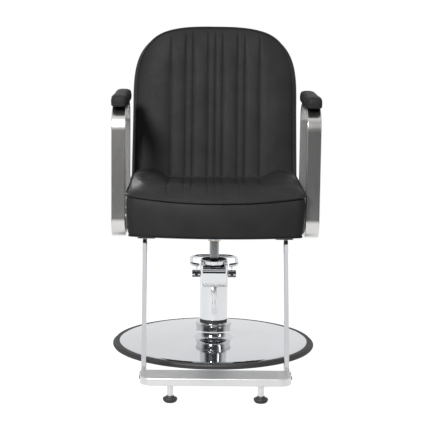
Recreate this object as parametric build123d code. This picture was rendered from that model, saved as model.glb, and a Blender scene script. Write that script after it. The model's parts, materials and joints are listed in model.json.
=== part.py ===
from build123d import *
import math
import os

# Hydraulic styling chair, in millimetres. The sitter faces -Y and +Z is up. The origin is on
# the floor, on the axis of the lifting column, with the seat at its lowest. Left and right are
# as seen by someone who stands in front of the chair.

SIDES = {"left": -1, "right": 1}

# ---- base ---------------------------------------------------------------------------------
base_radius = 292.5
rim_width = 21.0
rim_height = 12.5
plate_thickness = 3.5
plate_edge_radius = 279.0
neck_radius = 50.0
neck_top = 59.5
flare_root_radius = 62.0
flare_root_height = 23.6
neck_wall_radius = 52.6
neck_wall_foot = 33.0
floor_plate_radius = 266.0
floor_plate_top = 4.0

# ---- lifting column -----------------------------------------------------------------------
sleeve_radius = 40.5
sleeve_bottom = 77.0
collar_radius = 52.5
collar_top = 71.0
reservoir_radius = 38.0
cylinder_radius = 22.0
cylinder_bore_radius = 18.05
piston_radius = 18.0
piston_bottom = 12.0
piston_length = 14.0
rod_radius = 13.5
head_half_width = 40.0
head_bottom = 178.0
head_top = 240.5
ring_top = 252.7
dish_floor = 244.0
bushing_radius = 17.0
rod_shoulder = 309.0
spigot_radius = 12.0
running_gap = 0.05

# ---- pump pedal ---------------------------------------------------------------------------
shaft_y = -27.5
shaft_z = 215.0
shaft_radius = 7.0
rocker_radius = 9.5
window_half_width = 33.0
window_bottom = 217.5
window_lip = 2.5
collar_inner_x = 40.5
collar_outer_x = 63.5
shaft_collar_radius = 11.0
bail_radius = 5.0
bail_half_width = 66.5
bail_rear_y = 113.0
bail_z = 241.0
stud_x = 51.0
finger_x = 27.0
finger_reach = 22.0
finger_tip_radius = 5.0
well_floor = 196.5
spring_seat_z = 187.0

# ---- seat ---------------------------------------------------------------------------------
seat_half_width = 244.5
seat_bottom = 359.0
seat_front_y = -277.0
seat_corner_setback = 34.0
seat_piping_z = 456.0
seat_crest_z = 489.0
seat_rear_y = 146.0
cover_thickness = 12.0
board_thickness = 12.0
rail_width = 22.0
rail_height = 50.0
bracket_plate_thickness = 5.0
liner_thickness = 2.0
bracket_bolt_x = 75.0
bracket_bolt_y = 60.0

# ---- backrest -----------------------------------------------------------------------------
recline = 10.0
back_origin_y = 165.0
back_origin_z = 470.0
back_half_width = 250.5
back_low = -70.0
back_high = 457.2
back_corner_radius = 156.0
back_crown = 38.0
back_thickness = 90.0
back_board_depth = 55.0
back_board_thickness = 12.0
back_bar_thickness = 6.0
back_bar_width = 40.0
back_bar_x = 130.0
back_bar_low_z = 354.0
back_panel_thickness = 6.0

# ---- arms ---------------------------------------------------------------------------------
arm_inner_x = 248.0
arm_outer_x = 287.2
arm_front_y = -190.0
arm_rear_y = 92.0
arm_low_z = 342.0
arm_high_z = 706.0
arm_thickness = 10.0
arm_upper_radius = 62.0
arm_lower_radius = 56.0
hub_radius = 28.0
hub_y = -49.0
hub_z = 382.5
cap_radius = 36.0
cap_thickness = 5.5
hub_bolt_circle = 14.0
pad_half_width = 23.5
pad_offset = 1.0
pad_board_top = 710.0
pad_top = 738.0
pad_front_y = -193.0
pad_rear_y = 96.0

# ---- footrest -----------------------------------------------------------------------------
tread_half_width = 190.0
footrest_front_y = -620.0
footrest_rear_y = -465.0
footrest_low = 46.5
footrest_high = 65.5
footrest_wall = 12.0
footrest_corner_radius = 30.0
tread_rear_y = -530.0
tread_top = 64.0
leg_top = (192.5, -218.0, 352.0)
leg_foot = (184.5, -484.0, 65.5)
leg_width = 12.0
leg_depth = 27.0
foot_x = 113.7
foot_y = -602.0
foot_clearance = 1.0
stem_low = 17.5


# ---- shape helpers ------------------------------------------------------------------------
def disc(radius, low, high, x=0.0, y=0.0):
    """Upright round bar between two heights."""
    return Pos(x, y, (low + high) / 2) * Cylinder(radius, high - low)


def tube(outer, inner, low, high, x=0.0, y=0.0):
    """Upright round tube between two heights."""
    return disc(outer, low, high, x, y) - disc(inner, low - 1, high + 1, x, y)


def cross_bar(radius, start, stop, y, z):
    """Round bar that runs along X."""
    return Pos((start + stop) / 2, y, z) * Rot(0, 90, 0) * Cylinder(radius, abs(stop - start))


def block(x, y, z):
    """Box between a low and a high value on each axis."""
    size = [abs(high - low) for low, high in (x, y, z)]
    return Pos(*[(low + high) / 2 for low, high in (x, y, z)]) * Box(*size)


def turned(outline):
    """Solid turned about Z from an outline drawn as (radius, height)."""
    return revolve(Plane.XZ * make_face(outline), Axis.Z)


def ring_edges(solid, height, radius=None):
    """Circular edges of a solid at one height, and at one radius if it is given."""
    found = [edge for edge in solid.edges().filter_by(GeomType.CIRCLE)
             if abs(edge.center().Z - height) < 0.01]
    return [edge for edge in found if radius is None or abs(edge.radius - radius) < 0.01]


def hex_bolt(x, y, under_head, tip, radius, head_radius, head_height):
    """Hexagon bolt that points up, with its head below under_head."""
    head = extrude(RegularPolygon(head_radius, 6), head_height)
    return Pos(x, y, under_head - head_height) * head + disc(radius, under_head, tip, x, y)


# ---- base ---------------------------------------------------------------------------------
def base_skin(inset):
    """Section line of the base plate's upper face, or of its lower face when inset."""
    edge = (plate_edge_radius, 8.5 - inset)
    shoulder = (262.0, 15.2 - inset)
    root = (flare_root_radius, flare_root_height - inset)
    wall = (neck_wall_radius - inset, neck_wall_foot - inset / 2)
    neck = (neck_radius - inset, neck_top)
    dome = ThreePointArc(shoulder, (180.0, 20.6 - inset), root)
    roll = ThreePointArc(edge, (272.0, 13.0 - inset), shoulder)
    flare = Spline(root, wall, neck, tangents=[dome % 1, (0, 1)], tangent_scalars=[0.7, 1.0])
    return roll, dome, flare


def base_plate():
    upper = base_skin(0.0)
    lower = base_skin(plate_thickness)
    closing = Line(upper[2] @ 1, lower[2] @ 1), Line(upper[0] @ 0, lower[0] @ 0)
    return turned([*upper, *lower, *closing])


def base_rim(plate):
    inner = base_radius - rim_width
    outline = [
        Line((inner, 0), (base_radius - 2, 0)),
        Line((base_radius - 2, 0), (base_radius, 3)),
        Line((base_radius, 3), (base_radius, 6)),
        RadiusArc((base_radius, 6), (base_radius - 6.5, rim_height), 6.5),
        Line((base_radius - 6.5, rim_height), (inner, rim_height)),
        Line((inner, rim_height), (inner, 0)),
    ]
    return turned(outline) - plate


def base_weights():
    """Floor plate and cast ring that keep the chair upright."""
    floor_plate = disc(floor_plate_radius, 0, floor_plate_top)
    floor_plate = chamfer(ring_edges(floor_plate, 0), 0.8)
    ballast = tube(188.0, 66.0, floor_plate_top, 13.0)
    ballast = fillet(ring_edges(ballast, 13.0), 2.0)
    return floor_plate, ballast


def pump_foot():
    """Flange that holds the column to the base, and its four bolts."""
    flange = tube(60.0, cylinder_radius + 0.1, floor_plate_top, 12.0)
    bolts = []
    for spot in PolarLocations(50.0, 4, start_angle=45):
        x, y = spot.position.X, spot.position.Y
        bolts.append(disc(4.0, 0.6, 12.0, x, y) + disc(6.5, 12.0, 17.0, x, y))
        flange -= disc(4.3, 0, 13.0, x, y)
    return flange, bolts


def collar_and_gasket():
    collar = tube(collar_radius, reservoir_radius + 0.1, neck_top, collar_top)
    collar = fillet(ring_edges(collar, collar_top, collar_radius), 3.5)
    collar = fillet(ring_edges(collar, neck_top, collar_radius), 2.5)
    gasket = tube(reservoir_radius + 1.6, reservoir_radius + 0.1, collar_top, sleeve_bottom)
    return collar, gasket


# ---- lifting column -----------------------------------------------------------------------
def column_tubes():
    """Chrome sleeve, oil reservoir and the cylinder that the piston runs in."""
    sleeve = tube(sleeve_radius, sleeve_radius - 2.0, sleeve_bottom, head_bottom)
    sleeve = fillet(ring_edges(sleeve, sleeve_bottom, sleeve_radius), 1.9)
    reservoir = tube(reservoir_radius, reservoir_radius - 3.0, 12.0, head_bottom)
    cylinder = tube(cylinder_radius, cylinder_bore_radius, 10.0, head_bottom)
    cylinder += disc(cylinder_radius, floor_plate_top, 10.0)
    return sleeve, reservoir, cylinder


def plunger_y():
    return shaft_y + finger_reach


def pump_head():
    """Head casting with the pedal shaft's window and the plunger's well."""
    side = (-head_half_width, head_half_width)
    head = block(side, side, (head_bottom, head_top))
    head = fillet(head.edges().filter_by(Axis.Z), 5.0)
    head -= disc(bushing_radius, head_bottom - 1, head_top + 1)
    window = (-window_half_width, window_half_width)
    front = -head_half_width + window_lip
    head -= block(window, (-50.0, front + 0.1), (window_bottom, 250.0))
    head -= block(window, (front, shaft_y + rocker_radius + 0.4), (shaft_z - rocker_radius - 1.0, 250.0))
    head -= cross_bar(shaft_radius + running_gap, -50.0, 50.0, shaft_y, shaft_z)
    head -= block((finger_x - 6.5, finger_x + 6.5), (-20.0, 5.0), (well_floor, 250.0))
    head -= disc(7.5, spring_seat_z, well_floor + 1, finger_x, plunger_y())
    head -= disc(4.0 + running_gap, head_bottom - 1, spring_seat_z + 1, finger_x, plunger_y())
    return head


def head_ring():
    """Open cap ring on top of the head, dished inside."""
    ring = disc(head_half_width, head_top, ring_top)
    ring -= disc(head_half_width - 3.5, dish_floor, ring_top + 1)
    ring -= disc(bushing_radius, head_top - 1, ring_top + 1)
    ring = fillet(ring_edges(ring, ring_top, head_half_width), 1.6)
    ring = fillet(ring_edges(ring, head_top, head_half_width), 1.6)
    return ring


def rod_guides():
    """Bronze bushing in the head, and the dished wiper seal above it."""
    bore = rod_radius + running_gap
    bushing = tube(bushing_radius, bore, head_bottom + 4.0, dish_floor)
    wiper = tube(head_half_width - 3.6, bore, dish_floor, dish_floor + 2.5)
    wiper += tube(19.0, bore, dish_floor + 2.5, dish_floor + 5.0)
    return bushing, wiper


def piston_group():
    """Piston rod with its head, seal and the washer that the seat turns on."""
    top_of_head = piston_bottom + piston_length
    rod = disc(rod_radius, top_of_head, rod_shoulder - 2.0)
    rod += disc(spigot_radius, rod_shoulder - 2.0, 345.0)
    rod = chamfer(ring_edges(rod, 345.0), 1.5)
    groove = tube(piston_radius + 2, 15.5, 17.0, 21.0)
    head = disc(piston_radius, piston_bottom, top_of_head) - groove
    seal = tube(piston_radius + 0.03, 15.5, 17.0, 21.0)
    washer = tube(18.0, spigot_radius + 0.1, rod_shoulder - 2.0, rod_shoulder)
    return rod, head, seal, washer


# ---- pump pedal ---------------------------------------------------------------------------
def lever_shaft():
    shaft = cross_bar(shaft_radius, -collar_outer_x - 1, collar_outer_x + 1, shaft_y, shaft_z)
    shaft = chamfer(shaft.edges().filter_by(GeomType.CIRCLE), 0.8)
    for hole in collar_screw_holes(0.0):
        shaft -= hole
    return shaft


def collar_screw_holes(extra):
    """Shanks of the two screws that pin the collars to the shaft, from the front."""
    length = shaft_collar_radius + 4.0
    return [Pos(sign * stud_x, shaft_y - length / 2 + 3.0, shaft_z) * Rot(90, 0, 0)
            * Cylinder(2.5 + extra, length) for sign in SIDES.values()]


def shaft_collar(sign):
    """Turned collar that carries one end of the pedal."""
    collar = cross_bar(shaft_collar_radius, sign * collar_inner_x, sign * collar_outer_x, shaft_y, shaft_z)
    collar = fillet(collar.edges().filter_by(GeomType.CIRCLE), 1.2)
    collar -= cross_bar(shaft_radius, -70.0, 70.0, shaft_y, shaft_z)
    for tool in collar_screw_holes(0.0):
        collar -= tool
    seat = Pos(sign * stud_x, shaft_y - shaft_collar_radius, shaft_z) * Rot(90, 0, 0) * Cylinder(4.6, 3.0)
    return collar - seat - disc(3.0, 228.0, 240.0, sign * stud_x, shaft_y)


def collar_screws():
    """Socket screws through the collars into the shaft."""
    screws = []
    for sign, shank in zip(SIDES.values(), collar_screw_holes(0.0)):
        face = shaft_y - shaft_collar_radius + 1.5
        trimmed = shank & block((-80, 80), (face, 0), (200, 240))
        head = Pos(sign * stud_x, face - 2.0, shaft_z) * Rot(90, 0, 0) * Cylinder(4.5, 4.0)
        socket = Pos(sign * stud_x, face - 2.0, shaft_z) * Rot(90, 0, 0) * extrude(RegularPolygon(2.4, 6), 4.0)
        screws.append(trimmed + head - socket)
    return screws


def bail_path():
    """Centre line of the pedal, from one clamp round behind the column to the other."""
    half = [(stud_x - 4, shaft_y - 3.6), (bail_half_width, shaft_y + 9), (bail_half_width, bail_rear_y)]
    other = [(-x, y) for x, y in reversed(half)]
    corners = [Vector(x, y, bail_z) for x, y in half + other]
    return FilletPolyline(*corners, radius=[20.0, 38.0, 38.0, 20.0])


def pedal_bail():
    """Bent rod with a short stud welded under each end."""
    path = bail_path()
    section = Plane(origin=path @ 0, z_dir=path % 0) * Circle(bail_radius)
    rod = sweep(section, path=path)
    for end in (path @ 0, path @ 1):
        rod += Pos(*end) * Sphere(bail_radius)
    for sign in SIDES.values():
        rod += disc(3.0, 228.0, bail_z, sign * stud_x, shaft_y)
    return rod


def rocker():
    """Tube on the shaft, with the finger that presses the pump plunger."""
    low, high = finger_x - 5.0, finger_x + 5.0
    barrel = cross_bar(rocker_radius, 1 - window_half_width, window_half_width - 1, shaft_y, shaft_z)
    arm = block((low, high), (shaft_y, plunger_y()), (shaft_z - 5, shaft_z + 5))
    tip = cross_bar(finger_tip_radius, low, high, plunger_y(), shaft_z)
    bar_y, bar_z = shaft_y - 4.5, shaft_z + 13.5
    bar = cross_bar(6.0, 1 - window_half_width, window_half_width - 1, bar_y, bar_z)
    web = block((2 - window_half_width, window_half_width - 2), (bar_y - 2.0, bar_y + 3.5), (shaft_z, bar_z))
    shape = barrel + bar + web + arm + tip
    return shape - cross_bar(shaft_radius, -50.0, 50.0, shaft_y, shaft_z)


def plunger_group():
    """Pump plunger and the spring that lifts it again."""
    crown = shaft_z - finger_tip_radius - 0.3
    y = plunger_y()
    plunger = disc(6.3, crown - 4.0, crown, finger_x, y) + disc(4.0, 160.0, crown - 4.0, finger_x, y)
    wire = 1.4
    turns = 5
    height = crown - 4.0 - spring_seat_z - wire
    helix = Helix(pitch=height / turns, height=height, radius=5.4)
    section = Plane(origin=helix @ 0, z_dir=helix % 0) * Circle(wire / 2)
    spring = Pos(finger_x, y, spring_seat_z + wire / 2) * sweep(section, path=helix)
    return plunger, spring


# ---- seat ---------------------------------------------------------------------------------
def seat_plan(inset, low, high):
    """Block with the seat's bowed front, drawn in by inset on every side."""
    half = seat_half_width - inset
    front = seat_front_y + inset
    corner = front + seat_corner_setback
    rear = seat_rear_y + 40.0 - inset
    bow = ThreePointArc((-half, corner), (0, front), (half, corner))
    sides = Line((half, corner), (half, rear)), Line((-half, rear), (-half, corner))
    outline = make_face([bow, *sides, Line((half, rear), (-half, rear))])
    corners = outline.vertices().sort_by(Axis.Y)[:2]
    return Pos(0, 0, low) * extrude(fillet(corners, max(22.0 - inset, 8.0)), high - low)


def back_slope(offset):
    """Y where the backrest's front plane, moved back by offset, meets the height of its origin."""
    return back_origin_y + offset / math.cos(math.radians(recline))


def seat_side_view(clearance, low, high):
    """Seat seen from the side: rolled front edge, gentle dish, rear edge parallel to the back."""
    lean = math.tan(math.radians(recline))
    rear_low = back_origin_y - clearance + (low - back_origin_z) * lean
    rear_high = back_origin_y - clearance + (high - 12.0 - back_origin_z) * lean
    front = (seat_front_y - 5.0, seat_piping_z)
    crest = (seat_front_y + 150.0, high)
    roll = RadiusArc(front, crest, 330.0)
    dish = Line(crest, (rear_high, high - 12.0))
    edges = [
        Line((front[0], low), front), roll, dish,
        Line((rear_high, high - 12.0), (rear_low, low)), Line((rear_low, low), (front[0], low)),
    ]
    return extrude(Plane.YZ * make_face(edges), 300.0, both=True)


def seat_board():
    top = seat_bottom + board_thickness
    board = seat_plan(cover_thickness, seat_bottom, top) & seat_side_view(12.0, seat_bottom, top + 90)
    return board


def frame_hollow():
    """Room under the foam, inside the rails."""
    low = seat_bottom + board_thickness
    lean = math.tan(math.radians(recline))
    rear = back_origin_y - cover_thickness - rail_width + (low - back_origin_z) * lean
    hollow = seat_plan(cover_thickness + rail_width, low, low + rail_height)
    return hollow & block((-300, 300), (-400, rear), (low, low + rail_height))


def seat_frame():
    """Ring of wooden rails glued on the board."""
    low = seat_bottom + board_thickness
    view = seat_side_view(cover_thickness, seat_bottom, low + 115.0)
    return (seat_plan(cover_thickness, low, low + rail_height) & view) - frame_hollow()


def seat_cushion(tools):
    cushion = seat_plan(0.0, seat_bottom, seat_crest_z) & seat_side_view(1.5, seat_bottom, seat_crest_z)
    for tool in tools:
        cushion -= tool
    return cushion


def seat_liner(holes):
    low = seat_bottom - liner_thickness
    liner = seat_plan(6.0, low, seat_bottom) & seat_side_view(8.0, low, seat_bottom + 110)
    return liner - holes


def seat_bracket():
    """Pressed plate with the socket that drops over the piston rod."""
    top = seat_bottom - liner_thickness
    under = top - bracket_plate_thickness
    plate = block((-95.0, 95.0), (-85.0, 85.0), (under, top))
    plate = fillet(plate.edges().filter_by(Axis.Z), 14.0)
    outline = [
        Line((spigot_radius + running_gap, rod_shoulder), (18.0, rod_shoulder)),
        Line((18.0, rod_shoulder), (19.0, 320.0)),
        ThreePointArc((19.0, 320.0), (24.0, 340.0), (38.0, under)),
        Line((38.0, under), (spigot_radius + running_gap, under)),
        Line((spigot_radius + running_gap, under), (spigot_radius + running_gap, rod_shoulder)),
    ]
    bracket = plate + turned(outline)
    for angle in (45, 135, 225, 315):
        rib = Pos(50.0, 0, 343.0) * Box(60.0, 4.0, 18.0)
        slope = Pos(50.0, 0, 328.0) * Rot(0, -20, 0) * Box(120.0, 6.0, 22.0)
        bracket += Rot(0, 0, angle) * (rib - slope)
    return bracket


def bracket_corners():
    return [(x, y) for x in (-bracket_bolt_x, bracket_bolt_x) for y in (-bracket_bolt_y, bracket_bolt_y)]


def bracket_bolts():
    under = seat_bottom - liner_thickness - bracket_plate_thickness
    return [hex_bolt(x, y, under, 378.0, 4.0, 7.5, 5.3) for x, y in bracket_corners()]


def t_nuts():
    """Threaded inserts that the bracket bolts pull against the board."""
    top = seat_bottom + board_thickness
    return [tube(5.4, 4.1, top - 9.0, top, x, y) + tube(10.0, 4.1, top, top + 1.5, x, y)
            for x, y in bracket_corners()]


# ---- backrest -----------------------------------------------------------------------------
def back_frame():
    """Plane of the backrest: X across, local Y up the slope, local Z forward."""
    slope = math.radians(recline)
    forward = (0, -math.cos(slope), math.sin(slope))
    return Plane(origin=(0, back_origin_y, back_origin_z), x_dir=(1, 0, 0), z_dir=forward)


def back_outline(inset, low=back_low):
    """Arched outline of the backrest, drawn in by inset."""
    half = back_half_width - inset
    waist = half - 3.0
    shoulder = half - 6.0
    top = back_high - inset
    widest = 150.0
    flanks = [
        Line((-shoulder, top - back_crown), (-half, widest)), Line((-half, widest), (-waist, low + inset)),
        Line((waist, low + inset), (half, widest)), Line((half, widest), (shoulder, top - back_crown)),
    ]
    crown = ThreePointArc((-shoulder, top - back_crown), (0, top), (shoulder, top - back_crown))
    face = make_face([*flanks, crown, Line((-waist, low + inset), (waist, low + inset))])
    corners = face.vertices().sort_by(Axis.Y)
    face = fillet(corners[-2:], back_corner_radius - inset)
    return fillet(face.vertices().sort_by(Axis.Y)[:2], max(24.0 - inset, 6.0))


def back_slab(inset, front, rear, low=back_low):
    """Slab of the backrest between two depths behind its front plane."""
    frame = back_frame()
    placed = Plane(origin=frame.origin - frame.z_dir * rear, x_dir=frame.x_dir, z_dir=frame.z_dir)
    return placed * extrude(back_outline(inset, low), rear - front)


def back_bar(sign):
    """Flat steel bar from under the seat up behind the back board."""
    slope = math.radians(recline)
    depth = back_board_depth + back_board_thickness + back_bar_thickness / 2
    start_y = back_origin_y + depth * math.cos(slope)
    start_z = back_origin_z - depth * math.sin(slope)
    drop = (start_z - back_bar_low_z) / math.cos(slope)
    x = sign * back_bar_x
    rise = 250.0
    corner = Vector(x, start_y - drop * math.sin(slope), back_bar_low_z)
    end = Vector(x, start_y + rise * math.sin(slope), start_z + rise * math.cos(slope))
    path = FilletPolyline(Vector(x, 20.0, back_bar_low_z), corner, end, radius=24.0)
    section = Plane(origin=path @ 0, x_dir=(1, 0, 0), z_dir=path % 0)
    return sweep(section * Rectangle(back_bar_width, back_bar_thickness), path=path)


def back_bolt_spots():
    """Heights up the slope of the bolts that hold each bar to the back board."""
    return (60.0, 210.0)


def back_bolts():
    """Bolts of both back bars, into the seat board and into the back board."""
    bolts = []
    frame = back_frame()
    depth = back_board_depth + back_board_thickness + back_bar_thickness
    for sign in SIDES.values():
        x = sign * back_bar_x
        for y in (60.0, 120.0):
            bolts.append(hex_bolt(x, y, back_bar_low_z - back_bar_thickness / 2, 370.0, 4.0, 7.5, 5.3))
        for height in back_bolt_spots():
            head = extrude(RegularPolygon(7.0, 6), 5.0)
            shank = Pos(0, 0, 5.0) * extrude(Circle(4.0), back_board_thickness + back_bar_thickness - 2.0)
            bolts.append(frame * Pos(x, height, -depth - 5.0) * (head + shank))
    return bolts


# ---- arms ---------------------------------------------------------------------------------
def rounded_loop(inset, reach):
    """Upright rounded rectangle of the arm loop, drawn in by inset, as a block along X."""
    y = (arm_front_y + inset, arm_rear_y - inset)
    z = (arm_low_z + inset, arm_high_z - inset)
    shape = block((0.0, reach), y, z)
    ends = shape.edges().filter_by(Axis.X).sort_by(Axis.Z)
    shape = fillet(ends[:2], arm_lower_radius - inset)
    ends = shape.edges().filter_by(Axis.X).sort_by(Axis.Z)
    return fillet(ends[-2:], arm_upper_radius - inset)


def arm_frame(sign):
    """Closed loop bent from flat bar, with softened edges."""
    width = arm_outer_x - arm_inner_x
    loop = rounded_loop(0.0, width)
    loop = fillet(loop.edges().group_by(Axis.X)[0] + loop.edges().group_by(Axis.X)[-1], 2.5)
    loop -= rounded_loop(arm_thickness, width)
    inner = [edge for edge in loop.edges()
             if abs(edge.center().X) < 0.01 or abs(edge.center().X - width) < 0.01]
    loop = Pos(arm_inner_x, 0, 0) * fillet(inner, 1.2)
    return loop if sign > 0 else mirror(loop, Plane.YZ)


def hub_spots():
    """Centres of the three bolts in each arm hub, as (Y, Z)."""
    turns = [math.radians(angle) for angle in (90, 210, 330)]
    return [(hub_y + hub_bolt_circle * math.cos(t), hub_z + hub_bolt_circle * math.sin(t)) for t in turns]


def arm_hub(sign):
    """Boss welded into the loop, bored for three bolts and the cap's spigot."""
    start, stop = sign * seat_half_width, sign * arm_outer_x
    hub = cross_bar(hub_radius, start, stop, hub_y, hub_z)
    foot = block((sign * arm_inner_x, stop), (hub_y - hub_radius, hub_y + hub_radius),
                 (arm_low_z + arm_thickness, hub_z))
    hub += foot
    for y, z in hub_spots():
        hub -= cross_bar(4.3, start, stop, y, z)
        hub -= cross_bar(6.8, sign * (arm_outer_x - 10.0), stop, y, z)
    return hub - cross_bar(5.0, sign * (arm_outer_x - 9.0), stop, hub_y, hub_z)


def arm_bolts():
    """Socket screws through each hub and the upholstery into the seat rails."""
    bolts = []
    for sign in SIDES.values():
        for y, z in hub_spots():
            under = sign * (arm_outer_x - 10.0)
            shank = cross_bar(4.0, sign * 216.0, under, y, z)
            head = cross_bar(6.4, under, sign * (arm_outer_x - 2.0), y, z)
            socket = Pos(sign * (arm_outer_x - 4.0), y, z) * Rot(0, 90, 0) * extrude(
                RegularPolygon(3.4, 6), 4.0, both=True)
            bolts.append(shank + head - socket)
    return bolts


def arm_cap(sign):
    """Shallow domed cover over the hub, with a spigot that presses into it."""
    edge = cap_radius - 3.0
    rise = cap_thickness - 4.0
    sphere = (edge ** 2 + rise ** 2) / (2 * rise)
    half_way = cap_thickness - sphere + math.sqrt(sphere ** 2 - (edge / 2) ** 2)
    outline = [
        Line((0, -8.0), (4.95, -8.0)), Line((4.95, -8.0), (4.95, 0)),
        Line((4.95, 0), (cap_radius, 0)), Line((cap_radius, 0), (cap_radius, 1.4)),
        ThreePointArc((cap_radius, 1.4), (cap_radius - 0.8, 3.2), (edge, 4.0)),
        ThreePointArc((edge, 4.0), (edge / 2, half_way), (0, cap_thickness)),
        Line((0, cap_thickness), (0, -8.0)),
    ]
    return Pos(sign * arm_outer_x, hub_y, hub_z) * Rot(0, 90 * sign, 0) * turned(outline)


def arm_pad_parts(sign):
    """Padded armrest and the board under it."""
    middle = sign * ((arm_inner_x + arm_outer_x) / 2 - pad_offset)
    half = pad_half_width
    board = block((middle - half + 3, middle + half - 3),
                  (arm_front_y + arm_upper_radius, arm_rear_y - arm_upper_radius), (arm_high_z, pad_board_top))
    board = fillet(board.edges().filter_by(Axis.Z), 12.0)
    pad = block((middle - half, middle + half), (pad_front_y, pad_rear_y), (arm_high_z + 1.0, pad_top))
    pad = fillet(pad.edges().filter_by(Axis.Z), 14.0)
    pad = fillet(pad.faces().sort_by(Axis.Z)[-1].edges(), 10.0)
    return pad, board


def pad_screws():
    """Screws up through the loops into the armrest boards."""
    screws = []
    under = arm_high_z - arm_thickness
    for sign in SIDES.values():
        x = sign * (arm_inner_x + arm_outer_x) / 2
        for y in (-115.0, 17.0):
            head = disc(5.0, under - 3.0, under, x, y)
            head = fillet(ring_edges(head, under - 3.0), 1.8)
            screws.append(head + disc(2.5, under, 722.0, x, y))
    return screws


# ---- footrest -----------------------------------------------------------------------------
def footrest_leg(sign):
    """Flat bar from under the seat to the footrest, with a welded fixing tab."""
    top, foot = Vector(*leg_top), Vector(*leg_foot)
    run = foot - top
    middle = (top + foot) * 0.5
    frame = Plane(origin=middle, x_dir=(1, 0, 0), z_dir=run)
    bar = frame * Box(leg_width, leg_depth, run.length + 60)
    bar = fillet(bar.edges().filter_by(lambda edge: edge.length > run.length), 2.0)
    bar &= block((150, 230), (-600, -100), (footrest_high, leg_top[2]))
    tab_top = seat_bottom - liner_thickness
    tab = block((162.0, 214.0), (-238.0, -168.0), (leg_top[2], tab_top))
    tab = fillet(tab.edges().filter_by(Axis.Z), 8.0)
    for x, y in leg_bolt_spots():
        tab -= disc(3.6, 340.0, 360.0, x, y)
    bar = bar + tab
    return bar if sign > 0 else mirror(bar, Plane.YZ)


def leg_bolt_spots():
    return [(171.0, -185.0), (205.0, -185.0)]


def footrest_bolts():
    """Bolts of the legs, into the seat board above and into the footrest below."""
    bolts = []
    for sign in SIDES.values():
        for x, y in leg_bolt_spots():
            bolts.append(hex_bolt(sign * x, y, leg_top[2], 370.0, 3.4, 6.0, 4.2))
        x, y = sign * leg_foot[0], leg_foot[1]
        bolts.append(disc(5.0, footrest_low - 3.0, footrest_low, x, y) + disc(2.9, footrest_low, 84.0, x, y))
    return bolts


def footrest_frame():
    """U-shaped aluminium frame round the tread."""
    half = tread_half_width
    solid = block((-half, half), (footrest_front_y, footrest_rear_y), (footrest_low, footrest_high))
    corners = solid.edges().filter_by(Axis.Z).sort_by(Axis.Y)[:2]
    solid = fillet(corners, footrest_corner_radius)
    inner = half - footrest_wall
    hollow = block((-inner, inner), (footrest_front_y + footrest_wall, -400.0), (0.0, 100.0))
    corners = hollow.edges().filter_by(Axis.Z).sort_by(Axis.Y)[:2]
    frame = solid - fillet(corners, footrest_corner_radius - footrest_wall)
    outer = [edge for edge in frame.edges()
             if abs(edge.center().Z - footrest_high) < 0.01 or abs(edge.center().Z - footrest_low) < 0.01]
    return fillet(outer, 1.5) - foot_stems()


def footrest_tread():
    """Ribbed tread plate between the frame's walls."""
    half = tread_half_width - footrest_wall - 0.3
    front = footrest_front_y + footrest_wall + 0.3
    tread = block((-half, half), (front, tread_rear_y), (tread_top - 10.0, tread_top))
    corners = tread.edges().filter_by(Axis.Z).sort_by(Axis.Y)[:2]
    tread = fillet(corners, footrest_corner_radius - footrest_wall)
    for index in range(7):
        y = front + 10.0 + index * 9.0
        tread -= block((-half + 22, half - 22), (y, y + 1.6), (tread_top - 1.0, tread_top + 1.0))
    for y in tread_screw_rows():
        tread -= cross_bar(2.7, -half - 1, -half + 20, y, tread_top - 5.0)
        tread -= cross_bar(2.7, half - 20, half + 1, y, tread_top - 5.0)
    for sign in SIDES.values():
        tread -= disc(4.2, 50.0, tread_top - 3.5, sign * foot_x, foot_y)
    return tread


def tread_screw_rows():
    return (tread_rear_y - 52.0, tread_rear_y - 15.0)


def tread_screws():
    """Pan-head screws through the frame's walls into the tread."""
    screws = []
    for sign in SIDES.values():
        face = sign * tread_half_width
        for y in tread_screw_rows():
            shank = cross_bar(2.5, sign * 164.0, face, y, tread_top - 5.0)
            screws.append(shank + cross_bar(4.6, face, face + sign * 2.4, y, tread_top - 5.0))
    return screws


def foot_stems():
    """Tapered posts under the tread, each with a stud at both ends."""
    stems = []
    for sign in SIDES.values():
        x = sign * foot_x
        height = tread_top - 10.0 - stem_low
        post = Pos(x, foot_y, stem_low) * extrude(Circle(7.4), height, taper=-1.0)
        lower_stud = disc(4.0, stem_low - 8.5, stem_low, x, foot_y)
        upper_stud = disc(4.0, tread_top - 10.0, tread_top - 4.0, x, foot_y)
        stems.append(post + lower_stud + upper_stud)
    return stems


def rubber_foot(sign):
    low = foot_clearance
    outline = [
        Line((0, low), (13.0, low)),
        ThreePointArc((13.0, low), (17.2, low + 4.2), (18.2, low + 9.5)),
        Line((18.2, low + 9.5), (17.0, low + 11.0)),
        ThreePointArc((17.0, low + 11.0), (11.5, low + 12.6), (9.4, low + 16.5)),
        Line((9.4, low + 16.5), (0, low + 16.5)), Line((0, low + 16.5), (0, low)),
    ]
    return Pos(sign * foot_x, foot_y, 0) * turned(outline)


# ---- assembly -----------------------------------------------------------------------------
def build_base(parts):
    plate = base_plate()
    parts["base_plate"] = plate
    parts["base_rim"] = base_rim(plate)
    parts["floor_plate"], parts["base_ballast"] = base_weights()
    parts["pump_flange"], parts["pump_flange_bolts"] = pump_foot()
    for bolt in parts["pump_flange_bolts"]:
        parts["floor_plate"] -= bolt
    parts["base_collar"], parts["neck_gasket"] = collar_and_gasket()


def build_column(parts):
    parts["pump_sleeve"], parts["oil_reservoir"], parts["pump_cylinder"] = column_tubes()
    parts["pump_head"] = pump_head()
    parts["head_ring"] = head_ring()
    parts["rod_bushing"], parts["rod_wiper"] = rod_guides()
    group = piston_group()
    parts["piston_rod"], parts["piston_head"], parts["piston_seal"], parts["thrust_washer"] = group


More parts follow.
